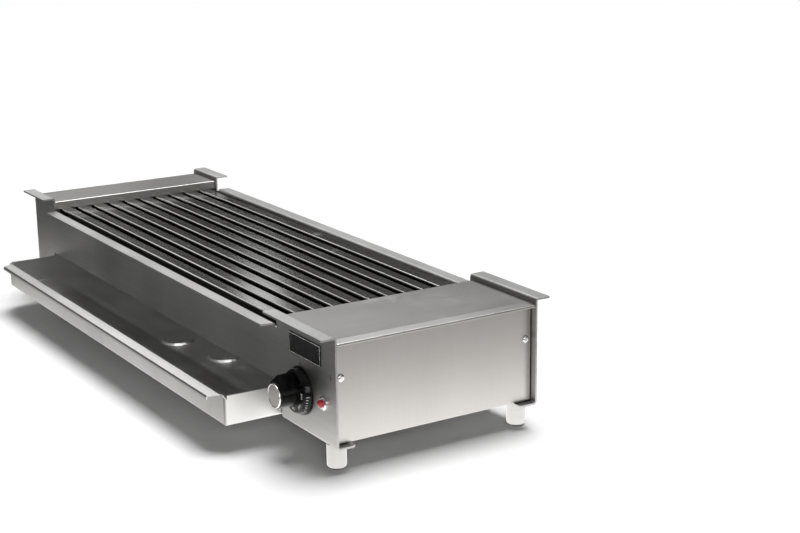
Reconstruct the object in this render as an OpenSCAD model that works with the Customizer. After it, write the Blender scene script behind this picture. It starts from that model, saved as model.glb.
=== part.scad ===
// Long electric table grill for skewers, folded from stainless sheet.
// X runs along the length with the controls at +X, the knob and the drip
// tray face -Y and Z is up. The origin lies on the ground, under the centre
// of the outline that the grill has with its tray pulled out.
// All sizes are millimetres.

/* [Body] */
// Length over the side plates
body_len = 820; // [720:1:960]
// Width over the outer faces of the side plates
body_w = 240; // [205:1:320]
// Height of the cooking level, where the bars and the side lips lie
rail_h = 99; // [88:1:120]
// How far the side plates' raised ends stand over the cooking level
end_rise = 16; // [12:1:40]
// Thickness of the side plates
sheet_t = 2; // [1.2:0.1:3]
// Inside radius of the folds
bend_r = 1.5; // [0.8:0.1:3]

/* [Side plates] */
// Outward width of the flanges on the raised ends
ear_w = 15.5; // [8:0.5:25]
// Outward width of the long skewer lips
lip_w = 14; // [8:0.5:25]
// Length of the raised end at the controls
ctl_ear_len = 119; // [117:1:150]
// Length of the raised end away from the controls
far_ear_len = 73; // [71:1:110]
// Slit between a lip and the raised end beside it
relief_w = 5.4; // [2:0.1:10]
// How far a lip's outer corner is cut back
lip_taper = 3; // [0:0.5:8]
// Width of the flange under the body that takes the feet
foot_flange_w = 21.5; // [19:0.5:30]

/* [Covers and end panels] */
// Thickness of the covers and the end panels
panel_t = 1.2; // [0.8:0.1:2]
// How far the covers lie below the raised ends
cover_drop = 6; // [4:0.5:7]
// From the inner end of a raised end to the cover's edge
cover_inset = 4; // [2:0.5:6]
// Length of the sloping eave over an end panel
eave_len = 12; // [9:0.5:20]
// Fall of the eave
eave_fall = 1; // [0.5:0.1:4]
// How far an end panel is set back from the plates' ends
panel_inset = 8; // [7:0.5:8.5]
// Height of an end panel's lower edge
panel_z = 3; // [2.5:0.1:6]
// Gap between an end panel and the side plates
panel_side_gap = 1.2; // [0.4:0.1:2]

/* [Grill bars] */
// Width of a bar
bar_w = 15.4; // [12:0.1:17]
// Height of a bar
bar_h = 12; // [10:0.5:20]
// Sheet thickness of a bar
bar_t = 1; // [0.8:0.1:1.2]
// Outer radius of a bar's long edges
bar_edge_r = 2; // [1.3:0.1:3]
// Gap between the outer bars and the side plates
side_gap = 9.05; // [4:0.05:14]

/* [Heating elements] */
// Diameter of the element tubes
element_d = 6.5; // [5:0.1:7.5]
// Gap between a tube and the bar above it
element_gap = 0.7; // [0.5:0.1:2]

/* [Drip tray] */
// Height of the opening in the front plate
open_h = 39; // [30:0.5:55]
// From the far end of the body to the opening
open_far = 62.5; // [58:0.5:66]
// From the control end of the body to the opening
open_ctl = 112.5; // [110:0.5:114]
// Gap between the tray and the sides of the opening
tray_clear = 1.5; // [0.5:0.1:4]
// Gap under the tray
tray_lift = 0.3; // [0.3:0.1:0.8]
// Height of the tray's walls
tray_h = 31.9; // [15:0.1:34]
// Sheet thickness of the tray
tray_t = 1.2; // [0.8:0.1:2]
// Depth of the tray from front wall to back wall
tray_depth = 232; // [120:1:234]
// How far the tray stands out of the body
pull_out = 64; // [0:1:150]
// Reach of the tray's front lip
tray_lip_out = 13; // [8:0.5:25]
// Width of the band that the lip's edge turns down
tray_lip_band = 4; // [3:0.5:10]
// From a corner of the tray to the end of its lip
tray_lip_in = 10; // [6:0.5:30]

/* [Knob] */
// From the control end of the body to the knob's axis
knob_in = 71; // [68:1:80]
// Height of the axes of knob and lamp
knob_z = 42; // [34:1:50]
// Diameter of the skirt
skirt_d = 50; // [40:0.5:56]
// Diameter of the grip
grip_d = 27; // [20:0.5:32]
// Reach of the pointer ridge from the axis
ridge_r = 21; // [16:0.5:22]
// From the front plate to the end of the knob
knob_reach = 31; // [24:0.5:40]
// Diameter of the shaft
shaft_d = 6; // [5:0.1:8]

/* [Signal lamp] */
// From the control end of the body to the lamp's axis
lamp_in = 25; // [22:0.5:35]
// Diameter of the bezel
bezel_d = 14; // [12:0.5:18]
// Diameter of the lens
lens_d = 8; // [6:0.5:9]
// Reach of the lens from the front plate
lens_reach = 6.5; // [4:0.5:10]

/* [Nameplate] */
// Length of the bare plate
plate_len = 64; // [40:1:80]
// Height of the bare plate
plate_tall = 22; // [12:0.5:24]
// From the control end of the body to the plate
plate_in = 28.5; // [20:0.5:35]
// How far the plate's upper edge stands over the cooking level
plate_over = 0.5; // [-8:0.5:6]

/* [Feet] */
// Height of a foot from the ground to the body
foot_h = 25.6; // [20:0.1:150]
// Diameter of the steel sleeve
foot_d = 20; // [16:0.5:22]
// Diameter of the rubber pad
pad_d = 14; // [11:0.5:17]
// How much of the pad shows under the sleeve
pad_show = 1.5; // [1:0.1:4]
// From the end of the body to a foot's axis
foot_in_x = 21.2; // [20:0.1:24]
// From the outer face of a side plate to a foot's axis
foot_in_y = 11.1; // [11:0.1:13]

/* [Hidden] */

$fn = 48;
// Flat steps in a sheet's fold
bend_steps = 6;
// A fold of fewer degrees is a plain corner
slight_bend = 10;
// Overrun of every cut
over = 1;
// Gap between pieces that are fitted but not pressed together
fit_gap = 0.3;

// Faces of the side plates
y_out = body_w / 2;
y_in = y_out - sheet_t;
plate_h = rail_h + end_rise;
// Height of the web where no flange stands on it
web_top = rail_h - sheet_t - bend_r;
lip_x0 = far_ear_len + relief_w;
lip_x1 = body_len - ctl_ear_len - relief_w;

// Covers
cover_z = plate_h - cover_drop;
cover_side_gap = 0.5;
hem_r = 0.2;
hem_h = 2 * panel_t + 2.5 * hem_r;
hem_len = 6;
panel_flange = 9;
panel_top = cover_z - panel_t - fit_gap
    - eave_fall * max(0, eave_len - panel_inset) / eave_len;

// Inner walls between chamber and ends
inner_t = 1;
runner_w = 14;
bulk_flange = 12;
rest_leg = 15;
rest_z = rail_h - bar_h;

// Bars and elements
bar_count = 10;
bar_end_gap = 0.5;
bar_pitch = (2 * y_in - 2 * side_gap - bar_w) / (bar_count - 1);
element_z = rail_h - bar_t - element_gap - element_d / 2;
element_turn_x = open_far - inner_t - element_d - relief_w;
element_hole_gap = 0.4;
element_tail = 12;
pin_d = 3;
pin_len = 12;

// Corner brackets and their screws
bracket_t = 1.2;
bracket_w = 16;
bracket_tall = 24;
slit_gap = 0.1;
tab_z0 = 69.1;
tab_z1 = 76.4;
screw_in_y = 7.5;
screw_z = 71;
screw_d = 4;
screw_gap = 0.25;
thread_gap = 0.05;
screw_len = 12;
screw_head_d = 8;
screw_head_h = 2.8;
screw_dome = 0.8;
cross_w = 1.2;
cross_len = 4.6;
cross_deep = 1.4;

// Drip tray
tray_x0 = open_far + tray_clear;
tray_x1 = body_len - open_ctl - tray_clear;
tray_z = sheet_t + inner_t + tray_lift;
tray_top = tray_z + tray_h;
tray_y0 = -y_out - pull_out;
tray_y1 = tray_y0 + tray_depth;
tray_corner_r = 3;
tray_lip_fall = 0.8;
tray_lip_skew = 5;
tray_hem = 5;
tray_bevel = 3.5;
boss_d = 38;
boss_h = 2;
boss_edge = 2.5;
boss_1_x = 354;
boss_1_y = 80;
boss_2_x = 441;
boss_2_y = 98;

// Regulator and knob
knob_gap = 0.8;
bushing_d = 9.6;
bushing_gap = 0.2;
bushing_reach = 3;
bore_gap = 0.05;
regulator_w = 44;
regulator_deep = 30;
regulator_back_w = 30;
regulator_back_deep = 8;
shaft_in = 20;
skirt_h = 8;
skirt_taper = 3;
skirt_edge = 1;
skirt_wall = 2.2;
skirt_floor = 2;
hub_d = 15;
grip_taper = 0.8;
ridge_nose = 2.6;
ridge_slope_h = 7;
cap_t = 1.6;
cap_rim = 1;
cap_dish = 0.5;
cap_inset = 0.5;

// Lamp
bezel_h = 2.4;
bezel_edge = 1;
barrel_wall = 0.8;
barrel_len = 16;
lens_collar = 2;
lamp_nut_d = 14;
lamp_nut_h = 3;

// Nameplate
name_t = 0.8;
name_corner = 1.5;
plate_z = rail_h + plate_over - plate_tall;

// Terminal block
block_len = 42;
block_deep = 20;
block_tall = 18;
block_in = 62;
block_z = 40;
block_ways = 3;
block_hole_d = 4;
block_screw_d = 5;
block_screw_deep = 7;

// Cable gland on the back plate
gland_in = 36;
gland_z = 30;
gland_thread_d = 15.6;
gland_hex = 19;
gland_hex_t = 5;
gland_dome = 8.5;
gland_mouth_d = 14;
gland_bore_d = 8;
gland_tail = 9;
gland_nut_d = 22;
gland_nut_t = 4;

// Feet
foot_edge_r = 2;
pad_stem_d = 9;
pad_stem = 8;
bolt_d = 8;
bolt_hex = 13;
bolt_head_h = 5.3;
bolt_reach = 13;
bolt_room = 1;

// Cooling slots in the control box's base
vent_count = 5;
vent_pitch = 22;
vent_w = 5;
vent_len = 40;

// Outline across the grill, which sets the origin
front_reach = max(pull_out + tray_lip_out, knob_reach, ear_w);
y_mid = (y_out + ear_w - y_out - front_reach) / 2;

steel = [0.80, 0.80, 0.79];
bright = [0.88, 0.88, 0.87];
dark = [0.10, 0.10, 0.11];

// Plane geometry of folded sheets

function unit(v) = v / norm(v);
function turned(v, a) = [v.x * cos(a) - v.y * sin(a), v.x * sin(a) + v.y * cos(a)];
function turn_side(a, b) = sign(a.x * b.y - a.y * b.x);
function right_of(v) = [v.y, -v.x];
function reversed(q) = [for (i = [len(q) - 1 : -1 : 0]) q[i]];

// Arc of radius r that rounds the corner p of the line a, p, b
function corner(a, p, b, r) =
    let (u = unit(a - p), v = unit(b - p), half = acos(u * v) / 2,
         c = p + unit(u + v) * r / sin(half),
         start = p + u * r / tan(half) - c,
         bend = 180 - 2 * half,
         sweep = turn_side(p - a, b - p) * bend)
    bend < slight_bend ? [p]
        : [for (i = [0 : bend_steps]) c + turned(start, sweep * i / bend_steps)];

// One face of a sheet of thickness t folded at inner radius r
function face_line(pts, t, r) = [
    pts[0],
    for (i = [1 : len(pts) - 2])
        each corner(pts[i - 1], pts[i], pts[i + 1],
            turn_side(pts[i] - pts[i - 1], pts[i + 1] - pts[i]) < 0 ? r + t : r),
    pts[len(pts) - 1]];

// The opposite face, t to the right of the line q
function other_face(q, t) = [
    for (i = [0 : len(q) - 1])
        let (a = max(i, 1), b = min(i + 1, len(q) - 1),
             n0 = right_of(unit(q[a] - q[a - 1])),
             n1 = right_of(unit(q[b] - q[b - 1])))
        q[i] + (n0 + n1) * t / (1 + n0 * n1)];

// Outline of a folded sheet that lies to the right of its face points
function sheet(pts, t, r) =
    let (q = face_line(pts, t, r)) concat(q, reversed(other_face(q, t)));

// Open-topped rectangle with rounded lower corners
function trough(a0, a1, b0, b1, r) = concat(
    [[a0, b1]],
    corner([a0, b1], [a0, b0], [a1, b0], r),
    corner([a0, b0], [a1, b0], [a1, b1], r),
    [[a1, b1]]);

// Rectangle with all corners rounded
function rounded(a0, a1, b0, b1, r) = concat(
    corner([a0, b1], [a0, b0], [a1, b0], r),
    corner([a0, b0], [a1, b0], [a1, b1], r),
    corner([a1, b0], [a1, b1], [a0, b1], r),
    corner([a1, b1], [a0, b1], [a0, b0], r));

function bar_y(i) = (i - (bar_count - 1) / 2) * bar_pitch;

// Placing

module in_frame() translate([-body_len / 2, -y_mid, foot_h]) children();
module along_x(x0, x1) translate([x0, 0, 0]) rotate([90, 0, 90])
    linear_extrude(x1 - x0) children();
module along_y(y0, y1) translate([0, y1, 0]) rotate([90, 0, 0])
    linear_extrude(y1 - y0) children();
module block(a, b) translate(a) cube(b - a);
module control_end() translate([body_len, 0, 0]) mirror([1, 0, 0]) children();
module back_side() mirror([0, 1, 0]) children();
// Turns a piece whose own axis is Z so that it points out of the front plate
module on_front(x, z) translate([x, -y_out, z]) rotate([90, 0, 0]) children();

// Side plates

module plate_blank() {
    along_x(0, body_len) polygon(sheet([
        [-y_in, web_top],
        [-y_in, sheet_t],
        [-y_out + foot_flange_w, sheet_t]], sheet_t, bend_r));
    along_x(lip_x0, lip_x1) polygon(sheet([
        [-y_out - lip_w, rail_h],
        [-y_in, rail_h],
        [-y_in, web_top - over]], sheet_t, bend_r));
    for (span = [[0, far_ear_len], [body_len - ctl_ear_len, body_len]])
        along_x(span[0], span[1]) polygon(sheet([
            [-y_out - ear_w, plate_h],
            [-y_in, plate_h],
            [-y_in, web_top - over]], sheet_t, bend_r));
}

// Oblique ends of the skewer lip
module lip_end_cuts() {
    for (end = [[lip_x0, 1], [lip_x1, -1]])
        translate([0, 0, web_top]) linear_extrude(rail_h - web_top + over)
            polygon([
                [end[0] - end[1] * over, -y_out],
                [end[0], -y_out],
                [end[0] + end[1] * lip_taper, -y_out - lip_w],
                [end[0] + end[1] * lip_taper, -y_out - lip_w - over],
                [end[0] - end[1] * over, -y_out - lip_w - over]]);
}

// Mitred ends of the flange that takes the feet
module flange_end_cuts() {
    miter = foot_flange_w / 8;
    for (end = [[0, 1], [body_len, -1]])
        translate([0, 0, -over]) linear_extrude(sheet_t + 2 * over)
            polygon([
                [end[0] - end[1] * over, -y_out + foot_flange_w + over],
                [end[0] + end[1] * miter, -y_out + foot_flange_w + over],
                [end[0] + end[1] * miter, -y_out + foot_flange_w],
                [end[0], -y_out + foot_flange_w - miter],
                [end[0] - end[1] * over, -y_out + foot_flange_w - miter]]);
}

module bracket_slit() {
    block([panel_inset + panel_t - slit_gap, -y_out - over, tab_z0 - slit_gap],
        [panel_inset + panel_t + bracket_t + slit_gap, -y_in + over,
            tab_z1 + slit_gap]);
}

module side_plate() {
    difference() {
        plate_blank();
        lip_end_cuts();
        flange_end_cuts();
        bracket_slit();
        control_end() bracket_slit();
        for (x = [foot_in_x, body_len - foot_in_x])
            translate([x, -y_out + foot_in_y, -over])
                cylinder(d = bolt_d + 2 * bushing_gap, h = sheet_t + 2 * over);
        children();
    }
}

module front_hole(x, z, d) {
    on_front(x, z) translate([0, 0, -sheet_t - over])
        cylinder(d = d, h = sheet_t + 2 * over);
}

module front_side_plate() {
    color(steel) in_frame() side_plate() {
        block([open_far, -y_out - over, -over],
            [body_len - open_ctl, -y_out + foot_flange_w + over, open_h]);
        front_hole(body_len - knob_in, knob_z, bushing_d + 2 * bushing_gap);
        front_hole(body_len - lamp_in, knob_z, barrel_d + 2 * bushing_gap);
    }
}

module back_side_plate() {
    color(steel) in_frame() back_side() side_plate()
        front_hole(body_len - gland_in, gland_z,
            gland_thread_d + 2 * bushing_gap);
}

// Covers over the two ends, drawn for the far end

module end_cover(edge) {
    along_y(-y_in + cover_side_gap, y_in - cover_side_gap) polygon(sheet([
        [hem_len, cover_z - eave_fall - hem_h],
        [0, cover_z - eave_fall - hem_h],
        [0, cover_z - eave_fall],
        [eave_len, cover_z],
        [edge, cover_z],
        [edge, rail_h]], panel_t, hem_r));
}

module control_cover() {
    color(steel) in_frame() control_end()
        end_cover(ctl_ear_len - cover_inset);
}

module far_cover() {
    color(steel) in_frame() end_cover(far_ear_len - cover_inset);
}

// End panels, held by a screw at each side

module end_panel() {
    difference() {
        along_y(-y_in + panel_side_gap, y_in - panel_side_gap) polygon(sheet([
            [panel_inset + panel_flange, panel_z],
            [panel_inset, panel_z],
            [panel_inset, panel_top],
            [panel_inset + panel_flange, panel_top]], panel_t, hem_r));
        for (s = [-1, 1])
            translate([panel_inset - over, s * (y_in - screw_in_y), screw_z])
                rotate([0, 90, 0])
                    cylinder(d = screw_d + 2 * screw_gap, h = panel_t + 2 * over);
        // The lower flange is notched round the foot bolts
        for (s = [-1, 1]) translate([0, s * (y_out - foot_in_y), 0])
            block([panel_inset + panel_t + fit_gap, -bolt_hex / 2 - fit_gap,
                    panel_z - over],
                [panel_inset + panel_flange + over, bolt_hex / 2 + fit_gap,
                    panel_z + panel_t + over]);
    }
}

module control_end_panel() {
    color(steel) in_frame() control_end() end_panel();
}

module far_end_panel() {
    color(steel) in_frame() end_panel();
}

// Brackets that pin the end panels' screws to the side plates

module bracket() {
    x0 = panel_inset + panel_t;
    mid = (tab_z0 + tab_z1) / 2;
    difference() {
        union() {
            block([x0, -y_in, mid - bracket_tall / 2],
                [x0 + bracket_t, -y_in + bracket_w, mid + bracket_tall / 2]);
            block([x0, -y_out, tab_z0], [x0 + bracket_t, -y_in + over, tab_z1]);
        }
        translate([x0 - over, -y_in + screw_in_y, screw_z]) rotate([0, 90, 0])
            cylinder(d = screw_d + 2 * thread_gap, h = bracket_t + 2 * over);
    }
}

// Pan-head screw with a cross recess, its head towards -X
module panel_screw() {
    translate([panel_inset, -y_in + screw_in_y, screw_z]) rotate([0, -90, 0])
        difference() {
            union() {
                rotate_extrude() polygon([
                    [0, 0], [screw_head_d / 2, 0],
                    [screw_head_d / 2, screw_head_h - 2 * screw_dome],
                    [screw_head_d / 2 - screw_dome / 2, screw_head_h - screw_dome],
                    [screw_head_d / 4, screw_head_h - screw_dome / 4],
                    [0, screw_head_h]]);
                translate([0, 0, -screw_len])
                    cylinder(d = screw_d, h = screw_len + over);
            }
            for (a = [45, 135]) rotate([0, 0, a])
                translate([-cross_len / 2, -cross_w / 2, screw_head_h - cross_deep])
                    cube([cross_len, cross_w, cross_deep + over]);
        }
}

module bracket_control_front() { color(steel) in_frame() control_end() bracket(); }
module bracket_control_back() { color(steel) in_frame() control_end() back_side() bracket(); }
module bracket_far_front() { color(steel) in_frame() bracket(); }
module bracket_far_back() { color(steel) in_frame() back_side() bracket(); }
module screw_control_front() { color(bright) in_frame() control_end() panel_screw(); }
module screw_control_back() { color(bright) in_frame() control_end() back_side() panel_screw(); }
module screw_far_front() { color(bright) in_frame() panel_screw(); }
module screw_far_back() { color(bright) in_frame() back_side() panel_screw(); }

// Inner walls, drawn for the far end: the chamber lies towards +X and the
// flange at the wall's foot carries the tray

module bulkhead_sides(x, top) {
    translate([0, 0, sheet_t + bend_r])
        linear_extrude(top - sheet_t - 2 * bend_r - inner_t) polygon(sheet([
            [x - bulk_flange, y_in],
            [x, y_in],
            [x, -y_in],
            [x - bulk_flange, -y_in]], inner_t, bend_r));
}

module far_bulkhead() {
    color(steel) in_frame() {
        along_y(-y_in + bend_r, y_in - bend_r) polygon(sheet([
            [open_far + runner_w, sheet_t],
            [open_far - inner_t, sheet_t],
            [open_far - inner_t, rest_z],
            [open_far + runner_w, rest_z]], inner_t, bend_r));
        bulkhead_sides(open_far, rest_z);
    }
}

module control_bulkhead() {
    top = cover_z - panel_t;
    color(steel) in_frame() control_end() difference() {
        union() {
            along_y(-y_in + bend_r, y_in - bend_r) polygon(sheet([
                [open_ctl + runner_w, sheet_t],
                [open_ctl - inner_t, sheet_t],
                [open_ctl - inner_t, top - inner_t],
                [open_ctl - bulk_flange, top - inner_t]], inner_t, bend_r));
            bulkhead_sides(open_ctl, top);
        }
        for (i = [0 : bar_count - 1])
            translate([open_ctl - 2 * inner_t, bar_y(i), element_z])
                rotate([0, 90, 0]) cylinder(h = 4 * inner_t,
                    d = element_d + 2 * element_hole_gap);
    }
}

// Closes the control box from below and lies on the side plates' flanges
module control_base() {
    color(steel) in_frame() control_end() difference() {
        block([panel_inset + panel_flange + fit_gap, -y_in + bend_r, sheet_t],
            [open_ctl - inner_t - fit_gap, y_in - bend_r, sheet_t + inner_t]);
        for (s = [-1, 1])
            translate([foot_in_x, s * (y_out - foot_in_y), sheet_t - over])
                cylinder(d = bolt_hex / cos(30) + 2 * bolt_room,
                    h = inner_t + 2 * over);
        for (i = [0 : vent_count - 1])
            translate([(open_ctl + panel_inset - vent_len) / 2,
                    (i - (vent_count - 1) / 2) * vent_pitch - vent_w / 2,
                    sheet_t - over])
                cube([vent_len, vent_w, inner_t + 2 * over]);
    }
}

module bar_rest() {
    color(steel) in_frame() control_end()
        along_y(-y_in + fit_gap, y_in - fit_gap) polygon(sheet([
            [open_ctl, rest_z - rest_leg],
            [open_ctl, rest_z],
            [open_ctl + runner_w, rest_z]], inner_t, bend_r));
}

// Bars: inverted channels over the element tubes

module grill_bar(i) {
    color(bright) in_frame() translate([0, bar_y(i), 0])
        along_x(open_far + bar_end_gap, body_len - open_ctl - bar_end_gap)
            polygon(sheet([
                [-bar_w / 2, rest_z],
                [-bar_w / 2, rail_h],
                [bar_w / 2, rail_h],
                [bar_w / 2, rest_z]], bar_t, bar_edge_r - bar_t));
}

module grill_bar_01() { grill_bar(0); }
module grill_bar_02() { grill_bar(1); }
module grill_bar_03() { grill_bar(2); }
module grill_bar_04() { grill_bar(3); }
module grill_bar_05() { grill_bar(4); }
module grill_bar_06() { grill_bar(5); }
module grill_bar_07() { grill_bar(6); }
module grill_bar_08() { grill_bar(7); }
module grill_bar_09() { grill_bar(8); }
module grill_bar_10() { grill_bar(9); }

// Hairpin tube under two neighbouring bars, with its turn at the far end
module heating_element(n) {
    y0 = bar_y(2 * n);
    x1 = body_len - open_ctl + inner_t + element_tail;
    color(dark) in_frame() {
        translate([element_turn_x, y0 + bar_pitch / 2, element_z])
            rotate([0, 0, 90]) rotate_extrude(angle = 180)
                translate([bar_pitch / 2, 0]) circle(d = element_d);
        for (y = [y0, y0 + bar_pitch]) translate([element_turn_x, y, element_z])
            rotate([0, 90, 0]) {
                cylinder(d = element_d, h = x1 - element_turn_x);
                cylinder(d = pin_d, h = x1 - element_turn_x + pin_len);
            }
    }
}

module heating_element_1() { heating_element(0); }
module heating_element_2() { heating_element(1); }
module heating_element_3() { heating_element(2); }
module heating_element_4() { heating_element(3); }
module heating_element_5() { heating_element(4); }

// Drip tray: a drawn pan with a turned-down front lip

module pan_space(inset, top) {
    r = bend_r + tray_t - inset;
    intersection() {
        along_x(tray_x0 + inset, tray_x1 - inset) polygon(trough(
            tray_y0 + inset, tray_y1 - inset, tray_z + inset, top, r));
        along_y(tray_y0 + inset, tray_y1 - inset) polygon(trough(
            tray_x0 + inset, tray_x1 - inset, tray_z + inset, top, r));
        translate([0, 0, tray_z + inset]) linear_extrude(top - tray_z - inset)
            polygon(rounded(tray_x0 + inset, tray_x1 - inset,
                tray_y0 + inset, tray_y1 - inset, tray_corner_r - inset));
    }
}

// Folded safe edge on the inside of the side and back walls
module tray_hems() {
    r = tray_corner_r;
    z0 = tray_top - tray_hem;
    block([tray_x0, tray_y0 + r, z0],
        [tray_x0 + 2 * tray_t, tray_y1 - r, tray_top]);
    block([tray_x1 - 2 * tray_t, tray_y0 + r, z0],
        [tray_x1, tray_y1 - r, tray_top]);
    block([tray_x0 + r, tray_y1 - 2 * tray_t, z0],
        [tray_x1 - r, tray_y1, tray_top]);
}

module tray_lip() {
    x0 = tray_x0 + tray_lip_in;
    x1 = tray_x1 - tray_lip_in;
    root = tray_top - tray_t - 2 * bend_r;
    y_tip = tray_y0 - tray_lip_out + tray_t;
    difference() {
        along_x(x0, x1) polygon(sheet([
            [tray_y0, root - over],
            [tray_y0, tray_top - tray_t],
            [y_tip, tray_top - tray_t - tray_lip_fall],
            [y_tip, tray_top - tray_lip_fall - tray_lip_band]],
            tray_t, bend_r / 2));
        for (end = [[x0, 1], [x1, -1]])
            translate([0, 0, root - 2 * over])
                linear_extrude(tray_top - root + 3 * over) polygon([
                    [end[0] - end[1] * over, tray_y0],
                    [end[0], tray_y0],
                    [end[0] + end[1] * tray_lip_skew, tray_y0 - tray_lip_out],
                    [end[0] + end[1] * tray_lip_skew,
                        tray_y0 - tray_lip_out - over],
                    [end[0] - end[1] * over, tray_y0 - tray_lip_out - over]]);
    }
}

module tray_boss(x, y) {
    translate([tray_x0 + x, tray_y0 + y, tray_z]) rotate_extrude() polygon([
        [0, boss_h], [boss_d / 2 - boss_edge, boss_h], [boss_d / 2, 0],
        [boss_d / 2 + tray_t, 0], [boss_d / 2 + tray_t, tray_t],
        [boss_d / 2 + tray_t / 2, tray_t],
        [boss_d / 2 - boss_edge + tray_t / 2, boss_h + tray_t],
        [0, boss_h + tray_t]]);
}

module drip_tray() {
    fold = bend_r / 2 + tray_t;
    bosses = [[boss_1_x, boss_1_y], [boss_2_x, boss_2_y]];
    color(bright) in_frame() {
        difference() {
            pan_space(0, tray_top);
            pan_space(tray_t, tray_top + over);
            // The front wall ends where the lip's fold begins
            block([tray_x0 + tray_lip_in, tray_y0 - over, tray_top - fold],
                [tray_x1 - tray_lip_in, tray_y0 + tray_t + over,
                    tray_top + over]);
            // Bevelled tops of the front corners
            for (end = [[tray_x0, 1], [tray_x1, -1]])
                along_y(tray_y0 - over, tray_y0 + tray_corner_r) polygon([
                    [end[0] - end[1] * over, tray_top + over],
                    [end[0] + end[1] * (tray_bevel + over), tray_top + over],
                    [end[0] - end[1] * over, tray_top - tray_bevel - over]]);
            for (b = bosses)
                translate([tray_x0 + b.x, tray_y0 + b.y, tray_z - over])
                    cylinder(d = boss_d, h = tray_t + 2 * over);
        }
        tray_hems();
        tray_lip();
        for (b = bosses) tray_boss(b.x, b.y);
    }
}

// Regulator behind the front plate

module regulator_body() {
    w = regulator_w / 2;
    b = regulator_back_w / 2;
    color(dark) in_frame() on_front(body_len - knob_in, knob_z) difference() {
        union() {
            translate([0, 0, -sheet_t - regulator_deep])
                linear_extrude(regulator_deep)
                    polygon(rounded(-w, w, -w, w, regulator_w / 8));
            translate([-b, -b, -sheet_t - regulator_deep - regulator_back_deep])
                cube([regulator_back_w, regulator_back_w,
                    regulator_back_deep + over]);
            translate([0, 0, -sheet_t - over])
                cylinder(d = bushing_d, h = sheet_t + over + bushing_reach);
        }
        translate([0, 0, -shaft_in]) cylinder(d = shaft_d + 2 * bore_gap,
            h = shaft_in + bushing_reach + over);
    }
}

knob_end = knob_reach - cap_t;
shaft_out = knob_end - 3 * skirt_floor;

module regulator_shaft() {
    color(bright) in_frame() on_front(body_len - knob_in, knob_z)
        translate([0, 0, -shaft_in + fit_gap])
            cylinder(d = shaft_d, h = shaft_in - fit_gap + shaft_out);
}

// Knob: conical skirt, round grip and a pointer ridge that starts upright

module grip_outline(r) {
    reach = ridge_r - ridge_nose;
    lean = asin((r - ridge_nose) / reach);
    circle(r = r);
    translate([0, reach]) circle(r = ridge_nose);
    polygon([
        [-r * cos(lean), r * sin(lean)],
        [r * cos(lean), r * sin(lean)],
        [ridge_nose * cos(lean), reach + ridge_nose * sin(lean)],
        [-ridge_nose * cos(lean), reach + ridge_nose * sin(lean)]]);
}

module knob() {
    top = skirt_h + knob_gap;
    r = grip_d / 2;
    color(dark) in_frame() on_front(body_len - knob_in, knob_z) difference() {
        union() {
            rotate_extrude() polygon([
                [0, top - skirt_floor],
                [hub_d / 2, top - skirt_floor],
                [skirt_d / 2 - skirt_taper - skirt_wall, top - skirt_floor],
                [skirt_d / 2 - skirt_wall, knob_gap],
                [skirt_d / 2, knob_gap],
                [skirt_d / 2, knob_gap + skirt_edge],
                [skirt_d / 2 - skirt_taper, top - skirt_edge],
                [skirt_d / 2 - skirt_taper - skirt_edge, top],
                [0, top]]);
            translate([0, 0, bushing_reach + knob_gap])
                cylinder(d = hub_d, h = top - bushing_reach - knob_gap);
            difference() {
                translate([0, 0, top - over])
                    linear_extrude(knob_end - top + over) grip_outline(r);
                // The ridge's crest falls away towards its nose
                translate([-r, 0, 0]) rotate([90, 0, 90])
                    linear_extrude(grip_d) polygon([
                        [r, knob_end + over],
                        [r, knob_end - grip_taper],
                        [ridge_r + over, knob_end - ridge_slope_h],
                        [ridge_r + over, knob_end + over]]);
            }
        }
        translate([0, 0, -over])
            cylinder(d = shaft_d + 2 * bore_gap, h = shaft_out + over);
    }
}

module knob_cap() {
    r = grip_d / 2 - cap_inset;
    color([0.75, 0.75, 0.77]) in_frame()
        on_front(body_len - knob_in, knob_z) rotate_extrude() polygon([
            [0, knob_end], [r, knob_end], [r, knob_reach - cap_rim / 2],
            [r - cap_rim / 2, knob_reach], [r - cap_rim, knob_reach],
            [r - 2 * cap_rim, knob_reach - cap_dish],
            [0, knob_reach - cap_dish]]);
}

// Signal lamp

barrel_d = lens_d + 2 * (barrel_wall + bore_gap);

module lamp_bezel() {
    color(bright) in_frame() on_front(body_len - lamp_in, knob_z)
        rotate_extrude() polygon([
            [lens_d / 2 + bore_gap, -barrel_len],
            [barrel_d / 2, -barrel_len],
            [barrel_d / 2, 0],
            [bezel_d / 2, 0],
            [bezel_d / 2, bezel_h - bezel_edge],
            [bezel_d / 2 - bezel_edge, bezel_h],
            [lens_d / 2 + bore_gap, bezel_h]]);
}

module lamp_lens() {
    color([0.75, 0.05, 0.04]) in_frame()
        on_front(body_len - lamp_in, knob_z) rotate_extrude() polygon([
            [0, -barrel_len], [lens_d / 2, -barrel_len],
            [lens_d / 2, lens_reach - lens_collar],
            for (a = [15 : 15 : 75]) [lens_d / 2 * cos(a),
                lens_reach - lens_collar + lens_collar * sin(a)],
            [0, lens_reach]]);
}

module lamp_nut() {
    color(bright) in_frame() on_front(body_len - lamp_in, knob_z)
        translate([0, 0, -sheet_t - lamp_nut_h]) difference() {
            cylinder(d = lamp_nut_d, h = lamp_nut_h, $fn = 6);
            translate([0, 0, -over]) cylinder(d = barrel_d + 2 * thread_gap,
                h = lamp_nut_h + 2 * over);
        }
}

module nameplate() {
    x1 = body_len - plate_in;
    color(dark) in_frame() along_y(-y_out - name_t, -y_out)
        polygon(rounded(x1 - plate_len, x1, plate_z, plate_z + plate_tall,
            name_corner));
}

// Terminal block on the inside of the back plate

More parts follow.
